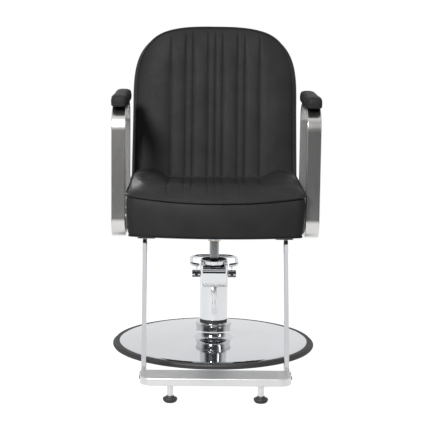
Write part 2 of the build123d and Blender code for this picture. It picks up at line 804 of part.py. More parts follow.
def build_pedal(parts):
    parts["lever_shaft"] = lever_shaft()
    for name, sign in SIDES.items():
        parts["shaft_collar_" + name] = shaft_collar(sign)
    parts["collar_screws"] = collar_screws()
    parts["pedal_bail"] = pedal_bail()
    parts["rocker"] = rocker()
    parts["plunger"], parts["plunger_spring"] = plunger_group()


def build_seat(parts):
    parts["bracket_bolts"], parts["t_nuts"] = bracket_bolts(), t_nuts()
    parts["seat_bracket"] = seat_bracket()
    parts["seat_board"] = seat_board()
    parts["seat_frame"] = seat_frame()
    envelope = [parts["seat_board"], parts["seat_frame"], frame_hollow()]
    for x, y in bracket_corners():
        hole = disc(4.3, 340.0, 380.0, x, y)
        parts["seat_bracket"] -= hole
        parts["seat_board"] -= disc(5.4, 340.0, 380.0, x, y)
    drilled = [disc(4.3, 340.0, 371.0, x, y) for x, y in bracket_corners()]
    for sign in SIDES.values():
        drilled += [disc(3.6, 340.0, 371.0, sign * x, y) for x, y in leg_bolt_spots()]
        drilled += [disc(4.2, 340.0, 371.0, sign * back_bar_x, y) for y in (60.0, 120.0)]
        for y, z in hub_spots():
            reach = cross_bar(4.0, sign * 216.0, sign * 250.0, y, z)
            envelope.append(reach)
            parts["seat_frame"] -= reach
    for hole in drilled:
        parts["seat_board"] -= hole
    parts["seat_cushion"] = seat_cushion(envelope)
    parts["seat_liner"] = seat_liner(Compound(children=drilled))


def build_back(parts):
    depth = back_board_depth + back_board_thickness
    board = back_slab(16.0, back_board_depth, depth, low=back_low)
    panel_front = back_thickness - back_panel_thickness
    panel = back_slab(6.0, panel_front, back_thickness)
    bolts = back_bolts()
    cushion = back_slab(0.0, 0.0, panel_front) - board
    for name, sign in SIDES.items():
        bar = back_bar(sign)
        cushion -= bar
        parts["back_bar_" + name] = bar
    for bolt in bolts:
        cushion -= bolt
        board -= bolt
        for name in SIDES:
            parts["back_bar_" + name] -= bolt
    parts["back_board"], parts["back_cushion"], parts["back_panel"] = board, cushion, panel
    parts["back_bolts"] = bolts


def build_arms(parts):
    boards = []
    screws = pad_screws()
    for name, sign in SIDES.items():
        frame, hub = arm_frame(sign), arm_hub(sign)
        pad, board = arm_pad_parts(sign)
        pad -= board
        for screw in screws:
            frame -= screw
            pad -= screw
            board -= screw
        parts["arm_frame_" + name], parts["arm_hub_" + name] = frame, hub
        parts["arm_cap_" + name] = arm_cap(sign)
        parts["arm_pad_" + name] = pad
        boards.append(board)
    parts["arm_pad_boards"] = boards
    parts["arm_bolts"] = arm_bolts()
    parts["arm_pad_screws"] = screws


def build_footrest(parts):
    bolts, screws, stems = footrest_bolts(), tread_screws(), foot_stems()
    frame = footrest_frame()
    for name, sign in SIDES.items():
        leg = footrest_leg(sign)
        for bolt in bolts:
            leg -= bolt
        parts["footrest_leg_" + name] = leg
        parts["rubber_foot_" + name] = rubber_foot(sign) - stems[0] - stems[1]
    for fixing in bolts + screws:
        frame -= fixing
    parts["footrest_frame"], parts["footrest_tread"] = frame, footrest_tread()
    parts["footrest_bolts"], parts["tread_screws"], parts["foot_stems"] = bolts, screws, stems


def main():
    os.makedirs("parts", exist_ok=True)
    parts = {}
    for build in (build_base, build_column, build_pedal, build_seat, build_back, build_arms,
                  build_footrest):
        build(parts)
    for name, shape in parts.items():
        if isinstance(shape, list):
            shape = Compound(children=shape)
        export_step(shape, "parts/" + name + ".step")


main()
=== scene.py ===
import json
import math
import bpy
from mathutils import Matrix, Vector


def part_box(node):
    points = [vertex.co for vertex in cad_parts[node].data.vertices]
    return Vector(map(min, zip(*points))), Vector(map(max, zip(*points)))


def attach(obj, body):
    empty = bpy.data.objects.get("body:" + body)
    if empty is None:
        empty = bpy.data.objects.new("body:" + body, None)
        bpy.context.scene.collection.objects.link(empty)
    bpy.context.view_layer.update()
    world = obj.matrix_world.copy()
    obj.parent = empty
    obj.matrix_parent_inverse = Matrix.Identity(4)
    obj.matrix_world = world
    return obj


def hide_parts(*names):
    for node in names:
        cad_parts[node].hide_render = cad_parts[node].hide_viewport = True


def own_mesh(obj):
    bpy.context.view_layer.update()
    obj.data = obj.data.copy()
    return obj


bl_info = {
    "name": "Salon Chair",
    "version": (1, 0, 0),
    "blender": (4, 5, 0),
    "location": "View3D > Sidebar > Chair",
    "description": "Upholstery, finishes and studio for a foot-pumped salon chair",
    "category": "Add Mesh",
}

import bmesh
import bpy
import numpy as np
from bpy.props import (FloatProperty, FloatVectorProperty, IntProperty,
                       PointerProperty)
from mathutils import Matrix, Vector

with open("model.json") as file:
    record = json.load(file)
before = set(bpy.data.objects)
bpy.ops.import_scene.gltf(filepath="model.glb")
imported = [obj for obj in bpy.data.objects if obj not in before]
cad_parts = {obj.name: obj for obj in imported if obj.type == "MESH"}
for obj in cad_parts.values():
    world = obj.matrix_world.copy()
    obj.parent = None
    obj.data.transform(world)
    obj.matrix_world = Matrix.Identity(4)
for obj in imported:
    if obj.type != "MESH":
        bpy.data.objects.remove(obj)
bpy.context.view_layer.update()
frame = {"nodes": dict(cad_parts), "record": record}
LEATHER_SLOT = "upholstery"
SIDES = {"left": -1.0, "right": 1.0}

# Sewn lines of the channels, as distances from the middle, in metres.
CHANNELS = (0.0, 0.0217, 0.0667, 0.089, 0.134)
CHANNEL_LINES = [side * line for line in CHANNELS
                 for side in ((1.0,) if line == 0.0 else (-1.0, 1.0))]
# Extra columns close to each sewn line, as distances from it.
CHANNEL_NEAR = (0.0012, 0.0034, 0.0075)
# Half width of the part of a panel that the channels fill.
CHANNEL_OUTER = CHANNELS[-1] + CHANNEL_NEAR[-1]

# Seat: corners of the cushion's box, and the shape of its top.
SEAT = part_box("seat_cushion")
SEAT_HALF = SEAT[1].x
SEAT_FRONT = SEAT[0].y
SEAT_BOTTOM = SEAT[0].z
SEAT_REAR = SEAT[1].y - 0.004
SEAT_SETBACK = 0.034
SEAT_CORNER = 0.024
SEAM_RISE = 0.0145
FRONT_ROLL = 0.150
SIDE_ROLL = 0.062
SEAT_ROWS = 62
# Rings of the seat's wall from the seam down: share of the height, and bulge outwards.
SEAT_WALL = ((0.03, -0.0040), (0.075, -0.0006), (0.14, 0.0010), (0.30, 0.0016), (0.46, 0.0016),
             (0.62, 0.0010), (0.78, 0.0000), (0.90, -0.0008), (0.965, -0.0022), (1.0, -0.0050))
SEAT_TAPER = 0.014

# Backrest: its lean, the middle of its front at the seat, and its outline measured up its face.
BACK_LEAN = math.radians(10.0)
BACK_ORIGIN = Vector((0.0, 0.165, 0.470))
BACK_LOW, BACK_HIGH = -0.070, 0.4572
BACK_SHOULDER = 0.200
BACK_HALF = 0.2480
BACK_CORNER = 0.2320
BACK_SPREAD = 0.0035
CROWN_POWER, SIDE_POWER = 3.0, 3.83
BACK_ROWS = 72
# Depths behind the front plane: the front seam and the rear seam.
SEAM_DEPTH, REAR_DEPTH = 0.019, 0.086
LUMBAR = 0.005
# How far the front seam is drawn in from the full outline, at the sides and at the top.
INSET_SIDE, INSET_TOP = 0.0125, 0.0045
# Rings of the boxing: share of the depth, and how much of the inset is given back.
BACK_WALL = ((0.05, 0.10), (0.16, 0.45), (0.32, 0.80), (0.52, 1.0), (0.70, 1.0),
             (0.86, 0.84), (0.96, 0.60))
# Rings of the rear cover's edge: depth, and how much of the inset is given back.
COVER_HEM = ((0.0872, 0.24), (0.0892, 0.22), (0.0905, 0.08))

# Section of an armrest from its underside up: height and half width, as shares of its own.
PAD_SECTION = ((-1.0, 0.90), (-1.0, 0.95), (-0.93, 0.985), (-0.72, 1.0), (-0.3, 1.0), (0.15, 0.99),
               (0.50, 0.955), (0.75, 0.90), (0.89, 0.82), (0.965, 0.70), (0.99, 0.45), (1.0, 0.15))
PAD_POINTS = 72

# Lamps stand round this point, and each has a place and a size.
MIDDLE = (0.0, 0.0, 0.5)
KEY_LAMP = (-1.05, -3.1, 2.15), (0.6, 0.6)
FILL_LAMP = (2.4, -2.4, 1.5), (0.7, 1.6)
TOP_LAMP = (0.0, -0.6, 3.0), (1.6, 1.2)
REAR_LAMP = (-1.6, 3.2, 2.0), (1.4, 1.4)
CAMERA_PLACE = (-0.050, -4.000, 1.006)
CAMERA_YAW, CAMERA_PITCH, CAMERA_ROLL = (math.radians(angle) for angle in (0.73, 8.87, 0.69))
FLOOR_SIDES = 96
FLOOR_DROP = -0.0002


# ---- properties ---------------------------------------------------------------------------
class ChairUpholstery(bpy.types.PropertyGroup):
    """Sizes and colour of the cushions."""

    leather_colour: FloatVectorProperty(
        name="Leather colour", description="Base colour of the leatherette", subtype="COLOR",
        size=3, min=0.0, max=1.0, default=(0.0170, 0.0170, 0.0174))
    leather_roughness: FloatProperty(
        name="Leather roughness", description="How matt the leatherette is",
        min=0.1, max=1.0, default=0.56)
    piping_radius: FloatProperty(
        name="Piping radius", description="Radius of the piping round the seams", unit="LENGTH",
        min=0.001, max=0.006, default=0.0030)
    channel_depth: FloatProperty(
        name="Channel depth", description="How far the sewn lines pull into the foam", unit="LENGTH",
        min=0.0, max=0.012, default=0.0036)
    seat_crest: FloatProperty(
        name="Seat crest", description="Height of the rolled front edge's top", unit="LENGTH",
        min=0.40, max=0.60, default=SEAT[1].z)
    seat_seam_height: FloatProperty(
        name="Seat seam height", description="Height of the piping at the middle of the front",
        unit="LENGTH", min=0.40, max=0.60, default=0.456)
    back_crown: FloatProperty(
        name="Back crown", description="How far the middle of the backrest stands proud of its seams",
        unit="LENGTH", min=0.0, max=0.05, default=0.017)
    stitch_length: FloatProperty(
        name="Stitch length", description="Length of one stitch", unit="LENGTH",
        min=0.001, max=0.01, default=0.0032)
    swell_cap: FloatProperty(
        name="Swell cap", description="Most that the filling pushes a point of a cushion outwards",
        unit="LENGTH", min=0.0, max=0.03, default=0.007)


class ChairMetal(bpy.types.PropertyGroup):
    """Colours and roughness of the metal parts."""

    chrome_colour: FloatVectorProperty(
        name="Chrome colour", description="Colour of the polished plate", subtype="COLOR",
        size=3, min=0.0, max=1.0, default=(0.645, 0.66, 0.675))
    steel_colour: FloatVectorProperty(
        name="Steel colour", description="Colour of the brushed stainless steel", subtype="COLOR",
        size=3, min=0.0, max=1.0, default=(0.62, 0.61, 0.60))
    aluminium_colour: FloatVectorProperty(
        name="Aluminium colour", description="Colour of the satin aluminium", subtype="COLOR",
        size=3, min=0.0, max=1.0, default=(0.66, 0.66, 0.66))
    brush_pitch: FloatProperty(
        name="Brush pitch", description="Distance between brush lines", unit="LENGTH",
        min=0.0002, max=0.005, default=0.0006)
    spring_wire: FloatProperty(
        name="Spring wire", description="Thickness of the plunger spring's wire", unit="LENGTH",
        min=0.0005, max=0.003, default=0.0014)
    spring_turns: IntProperty(
        name="Spring turns", description="Number of coils in the plunger spring",
        min=2, max=20, default=5)
    spring_travel: FloatProperty(
        name="Spring travel", description="How far the plunger goes down at full pedal", unit="LENGTH",
        min=0.0, max=0.02, default=0.0108)


class ChairStudio(bpy.types.PropertyGroup):
    """Floor, lamps and camera."""

    floor_radius: FloatProperty(
        name="Floor radius", description="Radius of the floor disc", unit="LENGTH",
        min=1.0, max=40.0, default=1.5)
    key_power: FloatProperty(
        name="Key lamp", description="Power of the main lamp", unit="POWER",
        min=0.0, max=2000.0, default=250.0)
    fill_power: FloatProperty(
        name="Fill lamp", description="Power of the lamp on the other side", unit="POWER",
        min=0.0, max=2000.0, default=10.0)
    sky_strength: FloatProperty(
        name="Sky strength", description="Brightness of the room", min=0.0, max=5.0, default=1.0)
    focal_length: FloatProperty(
        name="Focal length", description="Focal length of the camera in millimetres",
        min=20.0, max=300.0, default=117.3)


# ---- materials ----------------------------------------------------------------------------
class Tree:
    """Short way to build a node tree."""

    def __init__(self, tree):
        self.tree = tree
        self.nodes = tree.nodes

    def add(self, kind, settings=None, **inputs):
        node = self.nodes.new(kind)
        for name, value in (settings or {}).items():
            setattr(node, name, value)
        for name, value in inputs.items():
            self.put(node.inputs[name.replace("_", " ")], value)
        return node

    def put(self, socket, value):
        if isinstance(value, bpy.types.NodeSocket):
            self.tree.links.new(value, socket)
        else:
            socket.default_value = value


def new_material(name, colour, roughness, metallic=0.0):
    """Material with one Principled shader, and the builder for the rest of its nodes."""
    material = bpy.data.materials.new(name)
    material.use_nodes = True
    tree = Tree(material.node_tree)
    shader = tree.nodes["Principled BSDF"]
    shader.inputs["Base Color"].default_value = (*colour, 1.0)
    shader.inputs["Roughness"].default_value = roughness
    shader.inputs["Metallic"].default_value = metallic
    material.diffuse_color = (*colour, 1.0)
    return material, tree, shader


def object_point(tree, scale=(1.0, 1.0, 1.0)):
    """Object coordinates, stretched by scale."""
    point = tree.add("ShaderNodeTexCoord").outputs["Object"]
    mapping = tree.add("ShaderNodeMapping", Vector=point, Scale=scale)
    return mapping.outputs["Vector"]


def noise(tree, point, scale, detail=3.0, rough=0.5):
    return tree.add("ShaderNodeTexNoise", Vector=point, Scale=scale, Detail=detail,
                    Roughness=rough).outputs["Fac"]


def spread(tree, value, low, high, start=0.3, stop=0.7):
    """Value from start..stop turned into low..high."""
    node = tree.add("ShaderNodeMapRange", Value=value)
    node.inputs["From Min"].default_value = start
    node.inputs["From Max"].default_value = stop
    node.inputs["To Min"].default_value = low
    node.inputs["To Max"].default_value = high
    return node.outputs["Result"]


def tint(tree, value, dark, light):
    """Colour between dark and light by value."""
    ramp = tree.add("ShaderNodeValToRGB", Fac=value)
    ramp.color_ramp.elements[0].color = (*dark, 1.0)
    ramp.color_ramp.elements[1].color = (*light, 1.0)
    return ramp.outputs["Color"]


def bump(tree, shader, height, distance, strength=1.0, before=None):
    node = tree.add("ShaderNodeBump", Height=height, Strength=strength, Distance=distance)
    if before is not None:
        tree.put(node.inputs["Normal"], before)
    tree.put(shader.inputs["Normal"], node.outputs["Normal"])
    return node.outputs["Normal"]


def scaled(colour, factor):
    return tuple(min(1.0, channel * factor) for channel in colour)


def leather_material(name, colour, roughness, grain_scale=780.0):
    """Smooth leatherette: pebbled grain, soft unevenness, slight change of gloss."""
    material, tree, shader = new_material(name, colour, roughness)
    point = object_point(tree)
    broad = noise(tree, point, 14.0, 4.0)
    fine = noise(tree, point, 95.0, 3.0)
    shade = tint(tree, spread(tree, broad, 0.0, 1.0), scaled(colour, 0.86), scaled(colour, 1.14))
    tree.put(shader.inputs["Base Color"], shade)
    tree.put(shader.inputs["Roughness"], spread(tree, fine, roughness - 0.05, roughness + 0.06))
    cells = tree.add("ShaderNodeTexVoronoi", {"feature": "SMOOTH_F1"}, Vector=point,
                     Scale=grain_scale, Smoothness=0.6)
    soft = bump(tree, shader, fine, 0.0004, 0.35)
    bump(tree, shader, cells.outputs["Distance"], 0.00025, 0.5, soft)
    shader.inputs["Specular IOR Level"].default_value = 0.05
    return material


def chrome_material(name, colour, roughness):
    """Polished plate with faint haze."""
    material, tree, shader = new_material(name, colour, roughness, 1.0)
    point = object_point(tree)
    haze = noise(tree, point, 22.0, 5.0)
    tree.put(shader.inputs["Roughness"], spread(tree, haze, roughness * 0.6, roughness * 1.7))
    broad = spread(tree, noise(tree, point, 7.0), 0.0, 1.0)
    shade = tint(tree, broad, scaled(colour, 0.96), scaled(colour, 1.03))
    tree.put(shader.inputs["Base Color"], shade)
    bump(tree, shader, noise(tree, point, 60.0), 0.00004, 0.25)
    return material


def brushed_material(name, colour, roughness, pitch, across=(1.0, 0.012, 0.012)):
    """Metal brushed along its length: fine lines that run where the scale is small."""
    material, tree, shader = new_material(name, colour, roughness, 1.0)
    lines = noise(tree, object_point(tree, across), 1.0 / pitch, 4.0, 0.65)
    broad = noise(tree, object_point(tree), 9.0, 3.0)
    tree.put(shader.inputs["Roughness"], spread(tree, lines, roughness - 0.02, roughness + 0.03))
    shade = tint(tree, spread(tree, lines, 0.0, 1.0), scaled(colour, 0.96), scaled(colour, 1.03))
    mix = tree.add("ShaderNodeMix", {"data_type": "RGBA", "blend_type": "MULTIPLY"})
    mix.inputs["Factor"].default_value = 1.0
    tree.put(mix.inputs[6], shade)
    tree.put(mix.inputs[7], tint(tree, spread(tree, broad, 0.0, 1.0), (0.93,) * 3, (1.0,) * 3))
    tree.put(shader.inputs["Base Color"], mix.outputs[2])
    bump(tree, shader, lines, 0.000004, 0.2)
    return material


def rubber_material(name, colour, roughness):
    """Black rubber with a little dust."""
    material, tree, shader = new_material(name, colour, roughness)
    point = object_point(tree)
    speck = noise(tree, point, 420.0, 4.0)
    dust = noise(tree, point, 18.0, 5.0, 0.6)
    shade = tint(tree, spread(tree, dust, 0.0, 1.0), colour, scaled(colour, 1.9))
    tree.put(shader.inputs["Base Color"], shade)
    tree.put(shader.inputs["Roughness"], spread(tree, speck, roughness - 0.08, roughness + 0.08))
    bump(tree, shader, speck, 0.0002, 0.4)
    return material


def painted_material(name, colour, roughness, lump=260.0, metallic=0.0):
    """Powder coat, castings and plain plated steel, with the surface's own texture."""
    material, tree, shader = new_material(name, colour, roughness, metallic)
    point = object_point(tree)
    lumps = noise(tree, point, lump, 5.0, 0.6)
    wear = noise(tree, point, 30.0, 4.0)
    shade = tint(tree, spread(tree, wear, 0.0, 1.0), scaled(colour, 0.8), scaled(colour, 1.2))
    tree.put(shader.inputs["Base Color"], shade)
    tree.put(shader.inputs["Roughness"], spread(tree, lumps, roughness - 0.08, roughness + 0.1))
    bump(tree, shader, lumps, 0.0003, 0.4)
    return material


def wood_material(name):
    """Bare plywood with long grain."""
    material, tree, shader = new_material(name, (0.55, 0.40, 0.24), 0.7)
    grain = noise(tree, object_point(tree, (1.0, 0.06, 1.0)), 160.0, 5.0, 0.6)
    shade = tint(tree, spread(tree, grain, 0.0, 1.0), (0.40, 0.27, 0.15), (0.62, 0.46, 0.29))
    tree.put(shader.inputs["Base Color"], shade)
    bump(tree, shader, grain, 0.0003, 0.5)
    return material


def cloth_material(name, colour):
    """Non-woven dust cover: pressed dots in fine felt."""
    material, tree, shader = new_material(name, colour, 0.9)
    point = object_point(tree)
    dots = tree.add("ShaderNodeTexVoronoi", Vector=point, Scale=420.0).outputs["Distance"]
    felt = noise(tree, point, 900.0, 4.0)
    shade = tint(tree, felt, scaled(colour, 0.7), scaled(colour, 1.6))
    tree.put(shader.inputs["Base Color"], shade)
    soft = bump(tree, shader, felt, 0.0002, 0.5)
    bump(tree, shader, dots, 0.0003, 0.6, soft)
    return material


def thread_material(name, colour):
    """Twisted sewing thread."""
    material, tree, shader = new_material(name, colour, 0.7)
    twist = tree.add("ShaderNodeTexWave", Vector=object_point(tree), Scale=900.0, Distortion=1.0)
    shade = tint(tree, twist.outputs["Fac"], scaled(colour, 0.6), scaled(colour, 1.4))
    tree.put(shader.inputs["Base Color"], shade)
    bump(tree, shader, twist.outputs["Fac"], 0.0001, 0.6)
    return material


def finish_material(slot):
    """The finish for one of the record's material slots, made once."""
    made = bpy.data.materials.get("finish_" + slot)
    if made:
        return made
    soft, metal = bpy.context.scene.chair_upholstery, bpy.context.scene.chair_metal
    name = "finish_" + slot
    leather, chrome = tuple(soft.leather_colour), tuple(metal.chrome_colour)
    steel, aluminium = tuple(metal.steel_colour), tuple(metal.aluminium_colour)
    pitch, coarse, upright = metal.brush_pitch, 0.0008, (0.02, 0.02, 1.0)
    makers = {
        "upholstery": lambda: leather_material(name, leather, soft.leather_roughness),
        "chrome": lambda: chrome_material(name, chrome, 0.05),
        "brushed_stainless": lambda: brushed_material(name, steel, 0.24, pitch),
        "satin_aluminium": lambda: brushed_material(name, aluminium, 0.36, pitch, (0.02, 1.0, 1.0)),
        "black_rubber": lambda: rubber_material(name, (0.006, 0.006, 0.0065), 0.62),
        "dust_cover": lambda: cloth_material(name, (0.012, 0.012, 0.012)),
        "plywood": lambda: wood_material(name),
        "zinc_steel": lambda: painted_material(name, (0.56, 0.62, 0.68), 0.34, 120.0, 1.0),
        "black_screw": lambda: painted_material(name, (0.06, 0.06, 0.065), 0.35, 300.0, 1.0),
        "ground_steel": lambda: brushed_material(name, (0.30, 0.31, 0.315), 0.22, coarse, upright),
        "black_paint": lambda: painted_material(name, (0.015, 0.015, 0.016), 0.45),
        "grey_iron": lambda: painted_material(name, (0.14, 0.14, 0.14), 0.75, 180.0),
        "bronze": lambda: brushed_material(name, (0.62, 0.42, 0.20), 0.3, coarse, upright),
    }
    return makers[slot]()


def slot_of(node):
    """The record's material slot for a CAD node."""
    return {row["node"]: row["material_slot"] for row in frame["record"]["subparts"]}[node]


# ---- mesh helpers -------------------------------------------------------------------------
def add_object(name, points, faces):
    mesh = bpy.data.meshes.new(name)
    mesh.from_pydata([tuple(p) for p in points], [], faces)
    mesh.validate()
    piece = bpy.data.objects.new(name, mesh)
    bpy.context.scene.collection.objects.link(piece)
    return piece


def recalculate(piece, merge=1e-6):
    """Doubles merged, then faces turned outwards."""
    work = bmesh.new()
    work.from_mesh(piece.data)
    bmesh.ops.remove_doubles(work, verts=work.verts, dist=merge)
    bmesh.ops.recalc_face_normals(work, faces=work.faces)
    work.to_mesh(piece.data)
    work.free()
    return piece


def evaluated_mesh(piece):
    """Plain mesh of the piece with its modifiers worked in."""
    bpy.context.view_layer.update()
    graph = bpy.context.evaluated_depsgraph_get()
    return bpy.data.meshes.new_from_object(piece.evaluated_get(graph))


def settle(piece):
    """Modifiers worked into the mesh and removed."""
    mesh = evaluated_mesh(piece)
    piece.modifiers.clear()
    old = piece.data
    piece.data = mesh
    mesh.name = piece.name
    if isinstance(old, bpy.types.Mesh):
        bpy.data.meshes.remove(old)
    return piece


def subdivide(piece, levels=1):
    modifier = piece.modifiers.new("smooth", "SUBSURF")
    modifier.levels = modifier.render_levels = levels
    return settle(piece)


def dress(piece, slot, body="seat", material=None):
    """Finish, smooth shading and the body that the piece moves with."""
    piece.data.materials.clear()
    piece.data.materials.append(material or finish_material(slot))
    for polygon in piece.data.polygons:
        polygon.material_index = 0
        polygon.use_smooth = True
    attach(piece, body)
    return piece


def coordinates(mesh):
    points = np.zeros(len(mesh.vertices) * 3)
    mesh.vertices.foreach_get("co", points)
    return points.reshape(-1, 3)


def put_coordinates(mesh, points):
    mesh.vertices.foreach_set("co", points.astype(np.float32).ravel())
    mesh.update()


def swell(piece, pinned, cap, pressure=4.0, steps=20):
    """Filling pushes the cover out between the pinned seams, by cap at the most."""
    scene = bpy.context.scene
    group = piece.vertex_groups.new(name="pins")
    rest = coordinates(piece.data)
    for index, weight in enumerate(pinned):
        if weight > 0.0:
            group.add([index], float(weight), "REPLACE")
    cloth = piece.modifiers.new("filling", "CLOTH")
    settings = cloth.settings
    settings.quality = 5
    settings.mass = 0.3
    settings.tension_stiffness = settings.compression_stiffness = 12.0
    settings.shear_stiffness = 6.0
    settings.bending_stiffness = 0.4
    settings.use_pressure = True
    settings.uniform_pressure_force = pressure
    settings.vertex_group_mass = "pins"
    settings.effector_weights.gravity = 0.0
    cloth.collision_settings.use_collision = False
    cloth.point_cache.frame_start, cloth.point_cache.frame_end = 1, steps
    for step in range(1, steps + 1):
        scene.frame_set(step)
    bpy.context.view_layer.update()
    result = piece.evaluated_get(bpy.context.evaluated_depsgraph_get())
    moved = coordinates(result.to_mesh()) - rest
    result.to_mesh_clear()
    piece.modifiers.clear()
    piece.vertex_groups.clear()
    scene.frame_set(1)
    length = np.linalg.norm(moved, axis=1)
    share = np.minimum(1.0, cap / np.maximum(length, 1e-9))
    put_coordinates(piece.data, rest + moved * share[:, None])
    return piece


# ---- panels -------------------------------------------------------------------------------
def channel_columns(half):
    """Column positions across a panel: close together at each sewn line, even between."""
    marks = set()
    for line in CHANNEL_LINES:
        for gap in (0.0, *CHANNEL_NEAR):
            marks.update((round(line + gap, 5), round(line - gap, 5)))
    for left, right in zip((0.0217, 0.089), (0.0667, 0.134)):
        for side in (-1.0, 1.0):
            for share in (0.3, 0.5, 0.7):
                marks.add(round(side * (left + (right - left) * share), 5))
    span = half - CHANNEL_OUTER
    count = 17
    for index in range(1, count + 1):
        turn = math.pi / 2 * index / count
        x = CHANNEL_OUTER + span * (0.6 * index / count + 0.4 * math.sin(turn))
        marks.update((round(x, 5), round(-x, 5)))
    return np.array(sorted(marks))


def panel_grid(columns, low, high, rows):
    """Points of a panel between two edge curves, as [row][column] of (x, y)."""
    share = np.linspace(0.0, 1.0, rows)
    share = share - 0.035 * np.sin(2 * np.pi * share)
    bottom, top = low(columns), high(columns)
    return np.stack([np.broadcast_to(columns, (rows, len(columns))),
                     bottom + (top - bottom) * share[:, None]], axis=-1)


def loop_indices(rows, count):
    """Grid points along the panel's edge, anticlockwise."""
    index = np.arange(rows * count).reshape(rows, count)
    return np.concatenate([index[0, :], index[1:, -1], index[-1, -2::-1], index[-2:0:-1, 0]])


def closed_cushion(name, front, walls, rear):
    """One closed mesh: front panel, wall rings that start from its edge, rear panel.
    front and rear are [row][column] of points; walls is a list of rings of edge points."""
    rows, count = front.shape[:2]
    edge = loop_indices(rows, count)
    total = rows * count
    points = [front.reshape(-1, 3)]
    faces = []
    grid = np.arange(total).reshape(rows, count)
    for r in range(rows - 1):
        for c in range(count - 1):
            faces.append((grid[r, c], grid[r, c + 1], grid[r + 1, c + 1], grid[r + 1, c]))
    start, before = total, edge
    for ring in walls:
        points.append(ring)
        now = start + np.arange(len(edge))
        for i in range(len(edge)):
            j = (i + 1) % len(edge)
            faces.append((before[j], before[i], now[i], now[j]))
        before, start = now, start + len(edge)
    flat = rear.reshape(-1, 3)
    inner = np.ones(total, bool)
    inner[edge] = False
    rear_index = np.zeros(total, int)
    rear_index[edge] = before
    rear_index[inner] = start + np.arange(inner.sum())
    points.append(flat[inner])
    rear_grid = rear_index.reshape(rows, count)
    for r in range(rows - 1):
        for c in range(count - 1):
            faces.append((rear_grid[r, c], rear_grid[r + 1, c], rear_grid[r + 1, c + 1],
                          rear_grid[r, c + 1]))
    whole = [tuple(int(v) for v in face) for face in faces]
    piece = add_object(name, np.concatenate(points), whole)
    return piece, edge, total


def crease_depth(x, depth, width=0.0016):
    """How far the sewn lines pull a point at x inwards."""
    pull = np.zeros_like(x)
    for line in CHANNEL_LINES:
        pull = np.maximum(pull, np.exp(-((x - line) / width) ** 2))
    return depth * pull


def smooth_step(value, start, stop):
    """0 up to start, 1 from stop on, with a soft rise between."""
    t = np.clip((value - start) / (stop - start), 0.0, 1.0)
    return t * t * (3.0 - 2.0 * t)


# ---- seams: piping and stitches -----------------------------------------------------------
def line_group(name, sizes):
    """Start of a geometry node group that works on a line: its tree, its inputs and the curve.
    sizes gives each size input's name, with its kind and default."""
    group = bpy.data.node_groups.new(name, "GeometryNodeTree")
    tree = Tree(group)
    group.interface.new_socket("Geometry", in_out="INPUT", socket_type="NodeSocketGeometry")
    for key, (kind, default) in sizes.items():
        group.interface.new_socket(key, in_out="INPUT", socket_type=kind).default_value = default
    group.interface.new_socket("Material", in_out="INPUT", socket_type="NodeSocketMaterial")
    group.interface.new_socket("Geometry", in_out="OUTPUT", socket_type="NodeSocketGeometry")
    source = tree.add("NodeGroupInput")
    line = tree.add("GeometryNodeMeshToCurve", Mesh=source.outputs["Geometry"])
    return tree, source, line


def end_group(tree, source, geometry):
    """End of a geometry node group: real instances, painted with the group's material."""
    real = tree.add("GeometryNodeRealizeInstances", Geometry=geometry)
    paint = tree.add("GeometryNodeSetMaterial", Geometry=real.outputs["Geometry"],
                     Material=source.outputs["Material"])
    tree.add("NodeGroupOutput", Geometry=paint.outputs["Geometry"])
    return tree.tree


def piping_tree():
    """Geometry nodes that turn a line into a round tube: inputs Radius and Step."""
    found = bpy.data.node_groups.get("piping")
    if found:
        return found
    tree, source, line = line_group("piping", {"Radius": ("NodeSocketFloat", 0.002),
                                               "Step": ("NodeSocketFloat", 0.004)})
    even = tree.add("GeometryNodeResampleCurve", {"mode": "LENGTH"}, Curve=line.outputs["Curve"],
                    Length=source.outputs["Step"])
    ring = tree.add("GeometryNodeCurvePrimitiveCircle", Resolution=10,
                    Radius=source.outputs["Radius"])
    tube = tree.add("GeometryNodeCurveToMesh", Curve=even.outputs["Curve"])
    tree.put(tube.inputs["Profile Curve"], ring.outputs["Curve"])
    tube.inputs["Fill Caps"].default_value = True
    return end_group(tree, source, tube.outputs["Mesh"])


def stitch_tree():
    """Geometry nodes that lay stitches along lines: inputs Pitch, Length, Thickness and Seed."""
    found = bpy.data.node_groups.get("stitches")
    if found:
        return found
    tree, source, line = line_group("stitches", {"Pitch": ("NodeSocketFloat", 0.0045),
                                                 "Length": ("NodeSocketFloat", 0.0032),
                                                 "Thickness": ("NodeSocketFloat", 0.0004),
                                                 "Seed": ("NodeSocketInt", 7)})
    spots = tree.add("GeometryNodeCurveToPoints", {"mode": "LENGTH"}, Curve=line.outputs["Curve"],
                     Length=source.outputs["Pitch"])
    body = tree.add("GeometryNodeMeshCylinder", Vertices=6, Side_Segments=1, Fill_Segments=1,
                    Radius=source.outputs["Thickness"], Depth=source.outputs["Length"])
    turn = tree.add("FunctionNodeAlignRotationToVector", {"axis": "Z"},
                    Vector=spots.outputs["Tangent"])
    size = tree.add("FunctionNodeRandomValue", {"data_type": "FLOAT"})
    tree.put(size.inputs[2], 0.9)
    tree.put(size.inputs[3], 1.06)
    tree.put(size.inputs["Seed"], source.outputs["Seed"])
    laid = tree.add("GeometryNodeInstanceOnPoints", Points=spots.outputs["Points"],
                    Instance=body.outputs["Mesh"], Rotation=turn.outputs["Rotation"])
    tree.put(laid.inputs["Scale"], size.outputs[1])
    return end_group(tree, source, laid.outputs["Instances"])


